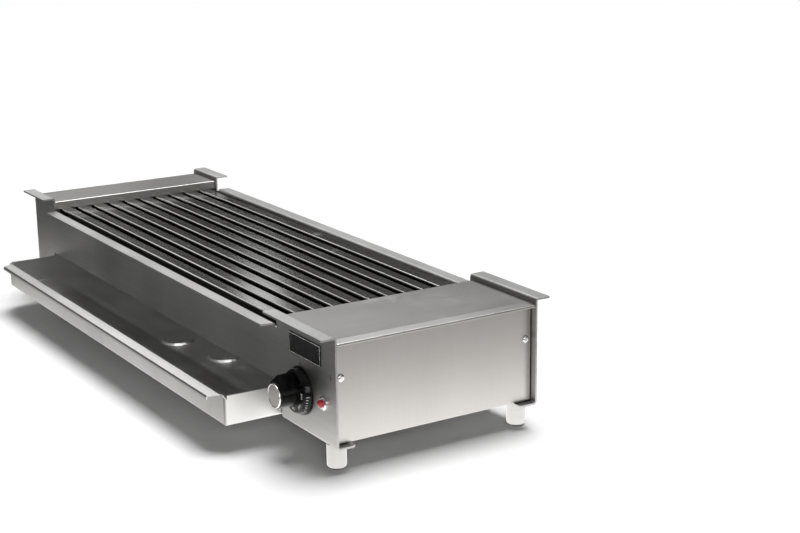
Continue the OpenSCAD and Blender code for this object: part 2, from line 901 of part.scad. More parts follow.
module terminal_block() {
    x0 = body_len - block_in - block_len / 2;
    step = block_len / block_ways;
    color([0.85, 0.83, 0.78]) in_frame() difference() {
        block([x0, y_in - block_deep, block_z],
            [x0 + block_len, y_in, block_z + block_tall]);
        for (i = [0 : block_ways - 1]) {
            translate([x0 + step * (i + 1 / 2), y_in - block_deep / 2,
                block_z - over])
                cylinder(d = block_hole_d, h = block_tall + 2 * over);
            translate([x0 + step * (i + 1 / 2),
                y_in - block_deep + block_screw_deep,
                block_z + block_tall / 2])
                rotate([90, 0, 0]) cylinder(d = block_screw_d,
                    h = block_screw_deep + over);
        }
    }
}

// Cable gland, drawn with its axis out of the front plate and then mirrored

module cable_gland() {
    hex_r = gland_hex / 2 / cos(30);
    color(dark) in_frame() back_side() on_front(body_len - gland_in, gland_z)
        difference() {
            union() {
                translate([0, 0, -sheet_t - gland_tail])
                    cylinder(d = gland_thread_d, h = sheet_t + gland_tail + over);
                cylinder(r = hex_r, h = gland_hex_t, $fn = 6);
                translate([0, 0, gland_hex_t - over]) rotate_extrude() polygon([
                    [0, 0], [gland_hex / 2, 0], [gland_hex / 2, over],
                    [(gland_hex + gland_mouth_d) / 4, over + gland_dome * 2 / 3],
                    [gland_mouth_d / 2, over + gland_dome],
                    [0, over + gland_dome]]);
            }
            translate([0, 0, -sheet_t - gland_tail - over])
                cylinder(d = gland_bore_d,
                    h = sheet_t + gland_tail + gland_hex_t + gland_dome + 2 * over);
        }
}

module gland_nut() {
    color(dark) in_frame() back_side() on_front(body_len - gland_in, gland_z)
        translate([0, 0, -sheet_t - gland_nut_t]) difference() {
            cylinder(d = gland_nut_d, h = gland_nut_t, $fn = 6);
            translate([0, 0, -over])
                cylinder(d = gland_thread_d + 2 * thread_gap,
                    h = gland_nut_t + 2 * over);
        }
}

// Feet: steel sleeve, rubber pad and the bolt that holds them

module foot_at() translate([foot_in_x, -y_out + foot_in_y, 0]) children();

module foot_sleeve() {
    r = foot_d / 2;
    h = foot_h - pad_show;
    color(steel) foot_at() difference() {
        rotate_extrude() polygon([
            [0, 0], [r, 0], [r, -h + foot_edge_r],
            for (a = [15 : 15 : 90]) [r - foot_edge_r + foot_edge_r * cos(a),
                -h + foot_edge_r - foot_edge_r * sin(a)],
            [0, -h]]);
        translate([0, 0, -bolt_reach - over])
            cylinder(d = bolt_d + 2 * bore_gap, h = bolt_reach + 2 * over);
        translate([0, 0, -h - over])
            cylinder(d = pad_stem_d + 2 * bore_gap, h = pad_stem + 2 * over);
    }
}

module foot_pad() {
    color([0.06, 0.06, 0.06]) foot_at() translate([0, 0, -foot_h]) {
        cylinder(d = pad_d, h = pad_show);
        cylinder(d = pad_stem_d, h = pad_show + pad_stem);
    }
}

module foot_bolt() {
    color(bright) foot_at() {
        translate([0, 0, sheet_t]) rotate([0, 0, 30])
            cylinder(r = bolt_hex / 2 / cos(30), h = bolt_head_h, $fn = 6);
        translate([0, 0, -bolt_reach])
            cylinder(d = bolt_d, h = bolt_reach + sheet_t + over);
    }
}

module foot_control_front() { in_frame() control_end() foot_sleeve(); }
module foot_control_back() { in_frame() control_end() back_side() foot_sleeve(); }
module foot_far_front() { in_frame() foot_sleeve(); }
module foot_far_back() { in_frame() back_side() foot_sleeve(); }
module pad_control_front() { in_frame() control_end() foot_pad(); }
module pad_control_back() { in_frame() control_end() back_side() foot_pad(); }
module pad_far_front() { in_frame() foot_pad(); }
module pad_far_back() { in_frame() back_side() foot_pad(); }
module bolt_control_front() { in_frame() control_end() foot_bolt(); }
module bolt_control_back() { in_frame() control_end() back_side() foot_bolt(); }
module bolt_far_front() { in_frame() foot_bolt(); }
module bolt_far_back() { in_frame() back_side() foot_bolt(); }

front_side_plate();
back_side_plate();
control_cover();
far_cover();
control_end_panel();
far_end_panel();
control_bulkhead();
far_bulkhead();
control_base();
bar_rest();
grill_bar_01();
grill_bar_02();
grill_bar_03();
grill_bar_04();
grill_bar_05();
grill_bar_06();
grill_bar_07();
grill_bar_08();
grill_bar_09();
grill_bar_10();
heating_element_1();
heating_element_2();
heating_element_3();
heating_element_4();
heating_element_5();
drip_tray();
bracket_control_front();
bracket_control_back();
bracket_far_front();
bracket_far_back();
screw_control_front();
screw_control_back();
screw_far_front();
screw_far_back();
regulator_body();
regulator_shaft();
knob();
knob_cap();
lamp_bezel();
lamp_lens();
lamp_nut();
nameplate();
terminal_block();
cable_gland();
gland_nut();
foot_control_front();
foot_control_back();
foot_far_front();
foot_far_back();
pad_control_front();
pad_control_back();
pad_far_front();
pad_far_back();
bolt_control_front();
bolt_control_back();
bolt_far_front();
bolt_far_back();
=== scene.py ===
"""Looks of a long electric table grill for skewers.

The folded shell, bars, tray, knob, lamp and feet come in as solids and keep
their shapes. This script gives each its finish, turns the round parts into
smooth pieces, adds the printed dial and sets floor, light and camera.
Everything is in metres: X runs along the grill with the controls at +X, the
knob and the tray face -Y and Z is up.
"""

import logging
import math
from dataclasses import dataclass, field
from enum import Enum
from typing import Sequence

import bmesh
import bpy
from mathutils import Matrix, Vector


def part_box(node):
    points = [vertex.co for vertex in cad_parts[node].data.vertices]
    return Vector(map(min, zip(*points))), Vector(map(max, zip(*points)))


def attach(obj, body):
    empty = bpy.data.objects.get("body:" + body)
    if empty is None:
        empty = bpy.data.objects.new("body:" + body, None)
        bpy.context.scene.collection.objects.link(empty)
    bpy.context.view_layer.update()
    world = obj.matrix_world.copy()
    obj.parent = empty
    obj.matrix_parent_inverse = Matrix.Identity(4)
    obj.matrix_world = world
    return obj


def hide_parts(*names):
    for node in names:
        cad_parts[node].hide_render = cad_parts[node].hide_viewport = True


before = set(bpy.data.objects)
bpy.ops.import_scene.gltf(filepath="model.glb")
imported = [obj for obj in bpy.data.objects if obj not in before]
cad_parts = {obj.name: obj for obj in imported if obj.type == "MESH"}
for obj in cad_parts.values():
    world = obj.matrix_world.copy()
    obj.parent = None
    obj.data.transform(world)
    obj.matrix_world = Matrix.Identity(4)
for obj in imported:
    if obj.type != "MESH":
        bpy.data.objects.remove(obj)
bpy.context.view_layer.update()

LOG = logging.getLogger("grill")
Point = tuple[float, float, float]
Tone = tuple[float, float, float]
Span = tuple[float, float]
Effect = tuple[bpy.types.NodeTree, "NodeBench", bpy.types.Node, bpy.types.Node]

MM = 0.001
HALF_LENGTH = 410.0
MIDDLE_SHIFT = 30.75
FOOT_HEIGHT = 25.6
FRONT_FACE = -120.0
CORNERS = ("control_front", "control_back", "far_front", "far_back")


def from_end(x: float, y: float, z: float) -> Vector:
    """Turns millimetres on the grill into the frame's metres.

    Args:
        x: Distance from the far end.
        y: Distance behind the body's middle.
        z: Height over the body's lower edge.

    Returns:
        The point in the frame.
    """
    return Vector((x - HALF_LENGTH, y + MIDDLE_SHIFT, z + FOOT_HEIGHT)) * MM


def mesh_of(name: str, shape: bmesh.types.BMesh) -> bpy.types.Mesh:
    """Turns a finished bmesh into a mesh and frees it.

    Args:
        name: The mesh's name.
        shape: The bmesh.

    Returns:
        The mesh.
    """
    mesh = bpy.data.meshes.new(name)
    shape.to_mesh(mesh)
    shape.free()
    return mesh


def add_stroke(shape: bmesh.types.BMesh, width: float,
               height: float) -> list[bmesh.types.BMVert]:
    """Adds one flat rectangle in the XY plane, centred on the origin.

    Args:
        shape: The bmesh that gets it.
        width: Its size along X.
        height: Its size along Y.

    Returns:
        Its corners.
    """
    corners = bmesh.ops.create_grid(shape, x_segments=1, y_segments=1,
                                    size=0.5)["verts"]
    bmesh.ops.scale(shape, verts=corners, vec=(width, height, 1.0))
    return corners


def stand_up(shape: bmesh.types.BMesh) -> None:
    """Turns a flat print upright, so that it faces the front."""
    bmesh.ops.rotate(shape, verts=shape.verts, cent=(0, 0, 0),
                     matrix=Matrix.Rotation(math.radians(90.0), 3, "X"))


class Body(Enum):
    """The bodies that a new piece can ride on."""

    SHELL = "body"
    KNOB = "knob"


class Grain(Enum):
    """Scale of a brushed grain along X, Y and Z, per metre."""

    ALONG_X = (14.0, 900.0, 900.0)
    ALONG_Y = (900.0, 14.0, 900.0)
    ALONG_Z = (900.0, 900.0, 14.0)
    FINE_X = (9.0, 380.0, 380.0)
    ROUND = (700.0, 700.0, 700.0)
    LATHE_Z = (25.0, 25.0, 1500.0)
    LATHE_Y = (25.0, 1500.0, 25.0)


@dataclass(frozen=True)
class Noise:
    """A noise texture's settings.

    Attributes:
        scale: Features per unit.
        detail: Number of octaves.
        rough: Weight of the fine octaves.
    """

    scale: float
    detail: float
    rough: float = 0.5


class NodeBench:
    """Places and wires the nodes of one shader tree."""

    def __init__(self, tree: bpy.types.NodeTree) -> None:
        """Starts on an empty tree.

        Args:
            tree: The tree to build in.
        """
        self.tree = tree
        self.tree.nodes.clear()

    def add(self, kind: str, **settings: object) -> bpy.types.Node:
        """Adds a node.

        Args:
            kind: The node's type.
            settings: Its attributes.

        Returns:
            The new node.
        """
        node = self.tree.nodes.new(kind)
        for key, value in settings.items():
            setattr(node, key, value)
        return node

    def wire(self, start: bpy.types.NodeSocket, end: bpy.types.NodeSocket) -> None:
        """Joins an output socket to an input socket."""
        self.tree.links.new(start, end)

    def math(self, operation: str, *terms: object) -> bpy.types.NodeSocket:
        """Adds a Math node.

        Args:
            operation: What the node works out.
            terms: Sockets or numbers, in order.

        Returns:
            The node's result.
        """
        node = self.add("ShaderNodeMath", operation=operation)
        for slot, term in zip(node.inputs, terms):
            if isinstance(term, bpy.types.NodeSocket):
                self.wire(term, slot)
            else:
                slot.default_value = term
        return node.outputs[0]

    def mix(self, amount: object, low: object, high: object,
            blend: str = "MIX") -> bpy.types.NodeSocket:
        """Mixes two colours.

        Args:
            amount: Share of the second colour.
            low: The first colour, as a socket or a tone.
            high: The second colour.
            blend: How the two are mixed.

        Returns:
            The mixed colour.
        """
        node = self.add("ShaderNodeMix", data_type="RGBA", blend_type=blend)
        for slot, term in zip((node.inputs[0], node.inputs[6], node.inputs[7]),
                              (amount, low, high)):
            if isinstance(term, bpy.types.NodeSocket):
                self.wire(term, slot)
            elif isinstance(term, tuple):
                slot.default_value = (*term, 1.0)
            else:
                slot.default_value = term
        return node.outputs[2]

    def noise(self, vector: bpy.types.NodeSocket,
              kind: Noise) -> bpy.types.NodeSocket:
        """Adds a noise texture.

        Args:
            vector: Where it is read.
            kind: Its settings.

        Returns:
            The noise value.
        """
        node = self.add("ShaderNodeTexNoise")
        node.inputs["Scale"].default_value = kind.scale
        node.inputs["Detail"].default_value = kind.detail
        node.inputs["Roughness"].default_value = kind.rough
        self.wire(vector, node.inputs["Vector"])
        return node.outputs["Fac"]

    def scaled(self, vector: bpy.types.NodeSocket,
               factors: bpy.types.NodeSocket) -> bpy.types.NodeSocket:
        """Multiplies a vector axis by axis.

        Args:
            vector: The vector.
            factors: What each axis is multiplied by.

        Returns:
            The product.
        """
        node = self.add("ShaderNodeVectorMath", operation="MULTIPLY")
        self.wire(vector, node.inputs[0])
        self.wire(factors, node.inputs[1])
        return node.outputs[0]

    def spread(self, value: bpy.types.NodeSocket,
               span: Span) -> bpy.types.NodeSocket:
        """Stretches a value so that a span's ends become 0 and 1.

        Args:
            value: The value to stretch.
            span: What becomes 0 and what becomes 1.

        Returns:
            The stretched and clamped value.
        """
        node = self.add("ShaderNodeMapRange", interpolation_type="SMOOTHSTEP")
        node.inputs["From Min"].default_value = span[0]
        node.inputs["From Max"].default_value = span[1]
        self.wire(value, node.inputs["Value"])
        return node.outputs["Result"]


def open_group(name: str, inputs: Sequence[tuple[str, str]],
               outputs: Sequence[tuple[str, str]]) -> Effect:
    """Starts a shader node group with named sockets.

    Args:
        name: The group's name.
        inputs: Name and socket type of each input.
        outputs: Name and socket type of each output.

    Returns:
        The group, its bench, its input node and its output node.
    """
    group = bpy.data.node_groups.new(name, "ShaderNodeTree")
    bench = NodeBench(group)
    for label, kind in inputs:
        group.interface.new_socket(name=label, in_out="INPUT", socket_type=kind)
    for label, kind in outputs:
        group.interface.new_socket(name=label, in_out="OUTPUT", socket_type=kind)
    return group, bench, bench.add("NodeGroupInput"), bench.add("NodeGroupOutput")


class SharedEffects:
    """Node groups that several finishes use."""

    # Textures, and the span of each one's values that shows.
    STREAKS = Noise(1.0, 3.0, 0.6)
    BANDS = Noise(1.0, 2.0, 0.45)
    PATCHES = Noise(11.0, 3.0)
    PATCH_SPAN = (0.52, 0.72)
    SWIRLS = Noise(65.0, 4.0, 0.6)
    SWIRL_SPAN = (0.42, 0.70)
    RUBBINGS = Noise(130.0, 3.0)
    RUBBING_SPAN = (0.34, 0.60)
    EDGE_SPAN = (0.01, 0.16)
    EDGE_SAMPLES = 4
    CLOUDS = Noise(90.0, 3.0)
    CLOUD_SPAN = (0.35, 0.65)
    PEBBLES = Noise(1500.0, 2.0)
    # Shares of each cause in the tone and in the roughness.
    MIDDLE = 0.5
    STREAK_TONE = 0.9
    BAND_TONE = 1.6
    SMUDGE_TONE = 0.35
    # The edges' near-white tone is partly bare worn metal and partly a painted
    # highlight.
    WORN_AND_HIGHLIT_TONE = 0.55
    BARE_AND_HIGHLIT_EDGE = (0.93, 0.93, 0.92)
    STREAK_ROUGH = 0.10
    SMUDGE_ROUGH = 0.12
    WEAR_ROUGH = -0.06
    CLOUD_ROUGH = 0.10

    def __init__(self) -> None:
        """Builds each group once."""
        self.grain = self._grain()
        self.handling = self._handling()
        self.metal_tone = self._metal_tone()
        self.moulded = self._moulded()
        self.worn_and_highlit_edges = self._worn_and_highlit_edges()

    def _grain(self) -> bpy.types.NodeTree:
        """Builds the brushed grain: fine streaks, and broad soft bands of tone.

        Returns:
            The group.
        """
        group, bench, given, made = open_group(
            "Brushed grain",
            [("Place", "NodeSocketVector"), ("Stretch", "NodeSocketVector"),
             ("Bands", "NodeSocketVector")],
            [("Streak", "NodeSocketFloat"), ("Band", "NodeSocketFloat")])
        fine = bench.scaled(given.outputs["Place"], given.outputs["Stretch"])
        broad = bench.scaled(given.outputs["Place"], given.outputs["Bands"])
        bench.wire(bench.noise(fine, self.STREAKS), made.inputs["Streak"])
        bench.wire(bench.noise(broad, self.BANDS), made.inputs["Band"])
        return group

    def _handling(self) -> bpy.types.NodeTree:
        """Builds the smudges that handling leaves on a surface.

        Returns:
            The group.
        """
        group, bench, given, made = open_group(
            "Handling marks",
            [("Place", "NodeSocketVector")],
            [("Smudge", "NodeSocketFloat")])
        patch = bench.spread(bench.noise(given.outputs["Place"], self.PATCHES),
                             self.PATCH_SPAN)
        swirl = bench.spread(bench.noise(given.outputs["Place"], self.SWIRLS),
                             self.SWIRL_SPAN)
        bench.wire(bench.math("MULTIPLY", patch, swirl), made.inputs["Smudge"])
        return group

    def _metal_tone(self) -> bpy.types.NodeTree:
        """Builds colour, roughness and relief of brushed metal from its grain; its
        edges are lightened, partly as wear and partly as a painted highlight.

        Returns:
            The group.
        """
        group, bench, given, made = open_group(
            "Metal tone",
            [("Light", "NodeSocketColor"), ("Dark", "NodeSocketColor"),
             ("Streak", "NodeSocketFloat"), ("Band", "NodeSocketFloat"),
             ("Smudge", "NodeSocketFloat"), ("Worn and highlit edge", "NodeSocketFloat"),
             ("Contrast", "NodeSocketFloat"), ("Roughness", "NodeSocketFloat")],
            [("Color", "NodeSocketColor"), ("Roughness", "NodeSocketFloat"),
             ("Relief", "NodeSocketFloat")])
        streak = bench.math("SUBTRACT", given.outputs["Streak"], self.MIDDLE)
        band = bench.math("SUBTRACT", given.outputs["Band"], self.MIDDLE)
        both = bench.math("ADD", bench.math("MULTIPLY", streak, self.STREAK_TONE),
                          bench.math("MULTIPLY", band, self.BAND_TONE))
        share = bench.math("MULTIPLY_ADD", both, given.outputs["Contrast"], self.MIDDLE)
        share = bench.math("MINIMUM", bench.math("MAXIMUM", share, 0.0), 1.0)
        tone = bench.mix(share, given.outputs["Dark"], given.outputs["Light"])
        smudged = bench.math("MULTIPLY", given.outputs["Smudge"], self.SMUDGE_TONE)
        dulled = bench.mix(smudged, tone, given.outputs["Dark"])
        # Edges are mixed towards a near-white tone: partly bare worn metal, partly a
        # painted highlight.
        worn_and_highlit = bench.math("MULTIPLY", given.outputs["Worn and highlit edge"], self.WORN_AND_HIGHLIT_TONE)
        bench.wire(bench.mix(worn_and_highlit, dulled, self.BARE_AND_HIGHLIT_EDGE), made.inputs["Color"])
        rough = given.outputs["Roughness"]
        for cause, change in ((streak, self.STREAK_ROUGH),
                              (given.outputs["Smudge"], self.SMUDGE_ROUGH),
                              (given.outputs["Worn and highlit edge"], self.WEAR_ROUGH)):
            rough = bench.math("MULTIPLY_ADD", cause, change, rough)
        bench.wire(rough, made.inputs["Roughness"])
        bench.wire(given.outputs["Streak"], made.inputs["Relief"])
        return group

    def _worn_and_highlit_edges(self) -> bpy.types.NodeTree:
        """Builds the lightened edges, partly wear and partly a painted highlight: where
        a rounded normal leaves the face's own.

        Returns:
            The group.
        """
        group, bench, given, made = open_group(
            "Edge wear",
            [("Place", "NodeSocketVector"), ("Width", "NodeSocketFloat")],
            [("Worn and highlit edge", "NodeSocketFloat")])
        rounded = bench.add("ShaderNodeBevel", samples=self.EDGE_SAMPLES)
        bench.wire(given.outputs["Width"], rounded.inputs["Radius"])
        flat = bench.add("ShaderNodeNewGeometry")
        apart = bench.add("ShaderNodeVectorMath", operation="DOT_PRODUCT")
        bench.wire(rounded.outputs["Normal"], apart.inputs[0])
        bench.wire(flat.outputs["Normal"], apart.inputs[1])
        edge = bench.spread(bench.math("SUBTRACT", 1.0, apart.outputs["Value"]),
                            self.EDGE_SPAN)
        patchy = bench.spread(bench.noise(given.outputs["Place"], self.RUBBINGS),
                              self.RUBBING_SPAN)
        bench.wire(bench.math("MULTIPLY", edge, patchy), made.inputs["Worn and highlit edge"])
        return group

    def _moulded(self) -> bpy.types.NodeTree:
        """Builds colour, roughness and relief of a moulded or painted surface.

        Returns:
            The group.
        """
        group, bench, given, made = open_group(
            "Moulded surface",
            [("Place", "NodeSocketVector"), ("Light", "NodeSocketColor"),
             ("Dark", "NodeSocketColor"), ("Roughness", "NodeSocketFloat")],
            [("Color", "NodeSocketColor"), ("Roughness", "NodeSocketFloat"),
             ("Relief", "NodeSocketFloat")])
        cloud = bench.spread(bench.noise(given.outputs["Place"], self.CLOUDS),
                             self.CLOUD_SPAN)
        bench.wire(bench.mix(cloud, given.outputs["Dark"], given.outputs["Light"]),
                   made.inputs["Color"])
        bench.wire(bench.math("MULTIPLY_ADD", cloud, self.CLOUD_ROUGH,
                              given.outputs["Roughness"]), made.inputs["Roughness"])
        bench.wire(bench.noise(given.outputs["Place"], self.PEBBLES),
                   made.inputs["Relief"])
        return group


def open_material(name: str) -> tuple[bpy.types.Material, NodeBench]:
    """Starts a material.

    Args:
        name: The material's name.

    Returns:
        The material and its bench.
    """
    material = bpy.data.materials.new(name)
    material.use_nodes = True
    return material, NodeBench(material.node_tree)


def close_material(bench: NodeBench, shader: bpy.types.Node, look: bpy.types.Node,
                   colour: bpy.types.NodeSocket, relief: float, depth: float) -> None:
    """Wires a shader to its look and to the material's output.

    Args:
        bench: The material's nodes.
        shader: The shader.
        look: The group node that gives roughness and relief.
        colour: The shader's colour.
        relief: Strength of the relief.
        depth: Depth of the relief.
    """
    bump = bench.add("ShaderNodeBump")
    bump.inputs["Strength"].default_value = relief
    bump.inputs["Distance"].default_value = depth
    bench.wire(look.outputs["Relief"], bump.inputs["Height"])
    bench.wire(colour, shader.inputs["Base Color"])
    bench.wire(look.outputs["Roughness"], shader.inputs["Roughness"])
    bench.wire(bump.outputs["Normal"], shader.inputs["Normal"])
    bench.wire(shader.outputs["BSDF"],
               bench.add("ShaderNodeOutputMaterial").inputs["Surface"])


@dataclass(frozen=True)
class MetalFinish:
    """A brushed, polished or turned metal.

    Attributes:
        name: The finish's name.
        light: Its lighter tone.
        dark: Its darker tone.
        grain: Scale of its grain.
        roughness: Its middle roughness.
        contrast: How far the grain parts the tones.
        relief: Strength of the grain's relief.
        bands: Scale of the broad bands along X, Y and Z.
        edge: Width of the lightened edges, partly wear and partly a painted highlight.
        upright_shade: How far the upright faces are painted dark, as painted shade for
            the gaps between bars.
        depth: Depth of the relief.
        upright_shade_tone: Colour of the painted shade.
        upright_shade_span: How level a face is where the painted shade is full and
            where it ends.
    """

    name: str
    light: Tone
    dark: Tone
    grain: Grain
    roughness: float
    contrast: float = 0.8
    relief: float = 0.10
    bands: Point = (9.0, 9.0, 3.0)
    edge: float = 0.0007
    upright_shade: float = 0.0
    depth: float = 0.0002
    upright_shade_tone: Tone = (0.022, 0.021, 0.018)
    upright_shade_span: Span = (0.05, 0.45)

    def make(self, effects: SharedEffects) -> bpy.types.Material:
        """Builds the material.

        Args:
            effects: The shared node groups.

        Returns:
            The finished material.
        """
        material, bench = open_material(self.name)
        place = bench.add("ShaderNodeTexCoord").outputs["Object"]
        grain = bench.add("ShaderNodeGroup", node_tree=effects.grain)
        grain.inputs["Stretch"].default_value = self.grain.value
        grain.inputs["Bands"].default_value = self.bands
        bench.wire(place, grain.inputs["Place"])
        marks = bench.add("ShaderNodeGroup", node_tree=effects.handling)
        bench.wire(place, marks.inputs["Place"])
        tone = bench.add("ShaderNodeGroup", node_tree=effects.metal_tone)
        tone.inputs["Light"].default_value = (*self.light, 1.0)
        tone.inputs["Dark"].default_value = (*self.dark, 1.0)
        tone.inputs["Contrast"].default_value = self.contrast
        tone.inputs["Roughness"].default_value = self.roughness
        bench.wire(grain.outputs["Streak"], tone.inputs["Streak"])
        bench.wire(grain.outputs["Band"], tone.inputs["Band"])
        bench.wire(marks.outputs["Smudge"], tone.inputs["Smudge"])
        # Edges lightened, partly as wear and partly as a painted highlight.
        worn_and_highlit_edges = bench.add("ShaderNodeGroup", node_tree=effects.worn_and_highlit_edges)
        worn_and_highlit_edges.inputs["Width"].default_value = self.edge
        bench.wire(place, worn_and_highlit_edges.inputs["Place"])
        bench.wire(worn_and_highlit_edges.outputs["Worn and highlit edge"], tone.inputs["Worn and highlit edge"])
        shader = bench.add("ShaderNodeBsdfPrincipled")
        shader.inputs["Metallic"].default_value = 1.0
        colour = tone.outputs["Color"]
        if self.upright_shade:
            colour = self._paint_upright_shade(bench, colour)
        close_material(bench, shader, tone, colour, self.relief, self.depth)
        return material

    def _paint_upright_shade(self, bench: NodeBench,
               colour: bpy.types.NodeSocket) -> bpy.types.NodeSocket:
        """Darkens the upright faces, where smoke has burnt on.

        Args:
            bench: The material's nodes.
            colour: The metal's colour without the painted shade.

        Returns:
            The darkened colour.
        """
        facing = bench.add("ShaderNodeSeparateXYZ")
        bench.wire(bench.add("ShaderNodeNewGeometry").outputs["True Normal"],
                   facing.inputs[0])
        level = bench.math("ABSOLUTE", facing.outputs["Z"])
        upright = bench.math("SUBTRACT", 1.0, bench.spread(level, self.upright_shade_span))
        return bench.mix(bench.math("MULTIPLY", upright, self.upright_shade), colour,
                         self.upright_shade_tone)


@dataclass(frozen=True)
class MouldedFinish:
    """A plastic, rubber or painted surface.

    Attributes:
        name: The finish's name.
        light: Its lighter tone.
        dark: Its darker tone.
        roughness: Its least roughness.
        relief: Strength of its fine relief.
        coat: Weight of a clear coat.
        gloss: Strength of its reflections.
        depth: Depth of the relief.
    """

    name: str
    light: Tone
    dark: Tone
    roughness: float
    relief: float = 0.15
    coat: float = 0.0
    gloss: float = 0.5
    depth: float = 0.0001

    def make(self, effects: SharedEffects) -> bpy.types.Material:
        """Builds the material.

        Args:
            effects: The shared node groups.

        Returns:
            The finished material.
        """
        material, bench = open_material(self.name)
        surface = bench.add("ShaderNodeGroup", node_tree=effects.moulded)
        surface.inputs["Light"].default_value = (*self.light, 1.0)
        surface.inputs["Dark"].default_value = (*self.dark, 1.0)
        surface.inputs["Roughness"].default_value = self.roughness
        bench.wire(bench.add("ShaderNodeTexCoord").outputs["Object"],
                   surface.inputs["Place"])
        shader = bench.add("ShaderNodeBsdfPrincipled")
        shader.inputs["Metallic"].default_value = 0.0
        shader.inputs["Specular IOR Level"].default_value = self.gloss
        shader.inputs["Coat Weight"].default_value = self.coat
        close_material(bench, shader, surface, surface.outputs["Color"], self.relief,
                       self.depth)
        return material


FINISHES = (
    MetalFinish("plate_steel", (0.52, 0.52, 0.51), (0.36, 0.36, 0.352),
                Grain.ALONG_X, 0.43, contrast=1.1, relief=0.15),
    MetalFinish("cover_steel", (0.45, 0.44, 0.428), (0.335, 0.327, 0.318),
                Grain.ALONG_Y, 0.34, contrast=1.0, relief=0.05),
    MetalFinish("panel_steel", (0.56, 0.546, 0.532), (0.47, 0.458, 0.445),
                Grain.ALONG_Z, 0.34, contrast=0.6, relief=0.03, bands=(3.0, 14.0, 2.0)),
    MetalFinish("inner_steel", (0.60, 0.60, 0.59), (0.42, 0.42, 0.41),
                Grain.ALONG_Z, 0.34, contrast=1.0),
    # Brackets are near black: painted shade for the dark slit where a bracket's tab
    # shows through the plate.
    MetalFinish("bracket_painted_shade", (0.16, 0.16, 0.155), (0.07, 0.07, 0.068),
                Grain.ALONG_Z, 0.45, contrast=1.0),
    # The bars' upright faces are painted dark: painted shade for the gaps between them.
    MetalFinish("bar_steel", (0.58, 0.58, 0.56), (0.40, 0.40, 0.38),
                Grain.FINE_X, 0.17, contrast=0.6, relief=0.002, upright_shade=0.9),
    MetalFinish("tray_steel", (0.70, 0.70, 0.69), (0.56, 0.56, 0.55),
                Grain.ALONG_X, 0.33, contrast=1.2, relief=0.04,
                bands=(13.0, 16.0, 9.0)),
    MetalFinish("element_sheath", (0.20, 0.17, 0.15), (0.07, 0.065, 0.07),
                Grain.ROUND, 0.45, contrast=1.4, relief=0.3),
    MetalFinish("fastener_steel", (0.80, 0.80, 0.79), (0.60, 0.60, 0.60),
                Grain.ROUND, 0.22),
    MetalFinish("foot_steel", (0.54, 0.54, 0.53), (0.40, 0.40, 0.39),
                Grain.LATHE_Z, 0.33),
    MetalFinish("cap_aluminium", (0.58, 0.57, 0.56), (0.45, 0.44, 0.43),
                Grain.ROUND, 0.36),
    MetalFinish("cap_rim", (0.95, 0.95, 0.95), (0.86, 0.86, 0.86),
                Grain.ROUND, 0.22, contrast=0.4, relief=0.02),
    MetalFinish("bezel_chrome", (0.94, 0.94, 0.95), (0.84, 0.84, 0.85),
                Grain.LATHE_Y, 0.12, contrast=0.5, relief=0.02),
    MouldedFinish("rubber", (0.030, 0.030, 0.031), (0.016, 0.016, 0.017), 0.62,
                  relief=0.4),
    MouldedFinish("knob_plastic", (0.007, 0.007, 0.007), (0.003, 0.003, 0.003), 0.11,
                  relief=0.03, gloss=0.18),
    MouldedFinish("lens_red", (0.62, 0.020, 0.025), (0.36, 0.008, 0.010), 0.10,
                  relief=0.02, coat=0.6),
    MouldedFinish("plate_black", (0.011, 0.011, 0.012), (0.006, 0.006, 0.007), 0.26,
                  relief=0.05, gloss=0.2),
    MouldedFinish("regulator_plastic", (0.06, 0.055, 0.05), (0.035, 0.03, 0.03), 0.5),
    MouldedFinish("block_ivory", (0.72, 0.68, 0.58), (0.60, 0.56, 0.47), 0.42),
    MouldedFinish("gland_plastic", (0.035, 0.035, 0.036), (0.02, 0.02, 0.021), 0.42),
    MouldedFinish("dial_print", (0.86, 0.86, 0.84), (0.74, 0.74, 0.72), 0.5),
    MouldedFinish("index_print", (0.02, 0.02, 0.02), (0.012, 0.012, 0.012), 0.5),
)


